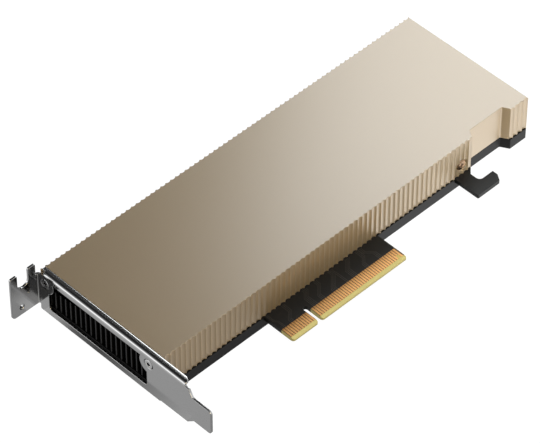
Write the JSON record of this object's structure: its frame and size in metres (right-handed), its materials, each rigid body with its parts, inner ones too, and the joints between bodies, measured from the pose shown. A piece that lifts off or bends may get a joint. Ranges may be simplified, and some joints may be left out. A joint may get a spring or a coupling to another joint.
{
  "type": "passive accelerator card",
  "caption": "Low-profile server accelerator card: fluted gold shroud over a finned heatsink, black tray, keyed edge connector, hook and vented slot bracket.",
  "frame": {"origin": "key notch centre line, at the lower edge of the edge connector, in the middle of the board's thickness", "axes": "+X along the card from the bracket to the far end, +Y from the edge connector to the far long side, +Z out of the component side"},
  "size_m": [0.1801, 0.0807, 0.0217],
  "materials": {
    "anodised_shroud": "bead-blasted, champagne-gold anodised",
    "black_heatsink": "black anodised",
    "black_tray": "black anodised, satin",
    "board_laminate": "black solder mask on glass-epoxy laminate",
    "gold_contacts": "hard gold plate",
    "black_film": "polyester film",
    "plated_steel": "bright nickel-plated steel sheet",
    "screw_steel": "nickel-plated steel",
    "black_screws": "black oxide",
    "bronze_screws": "bronze-plated steel",
    "package_laminate": "green organic package",
    "silicon": "polished silicon",
    "thermal_compound": "grease",
    "chip_epoxy": "moulded epoxy",
    "thermal_pad": "soft silicone",
    "ferrite": "pressed powder",
    "capacitor_resin": "moulded resin",
    "ceramic": "fired ceramic",
    "plated_can": "plated metal can"
  },
  "bodies": {
    "root": {"backplate_tray": "black_tray", "bracket": "plated_steel", "bracket_screws": "screw_steel", "ceramic_capacitors": "ceramic", "circuit_board": "board_laminate", "clock_crystal": "plated_can", "contacts_back": "gold_contacts", "contacts_front": "gold_contacts", "firmware_flash": "chip_epoxy", "gpu_die": "silicon", "gpu_package": "package_laminate", "heatsink": "black_heatsink", "inductors": "ferrite", "input_fuse": "ceramic", "insulator_film": "black_film", "management_controller": "chip_epoxy", "memory_chips": "chip_epoxy", "memory_chips_back": "chip_epoxy", "memory_pads": "thermal_pad", "memory_pads_back": "thermal_pad", "polymer_capacitors": "capacitor_resin", "power_controller": "chip_epoxy", "power_stage_pad": "thermal_pad", "power_stages": "chip_epoxy", "shroud": "anodised_shroud", "side_screws": "bronze_screws", "thermal_paste": "thermal_compound", "tray_screws": "black_screws"}
  },
  "joints": []
}
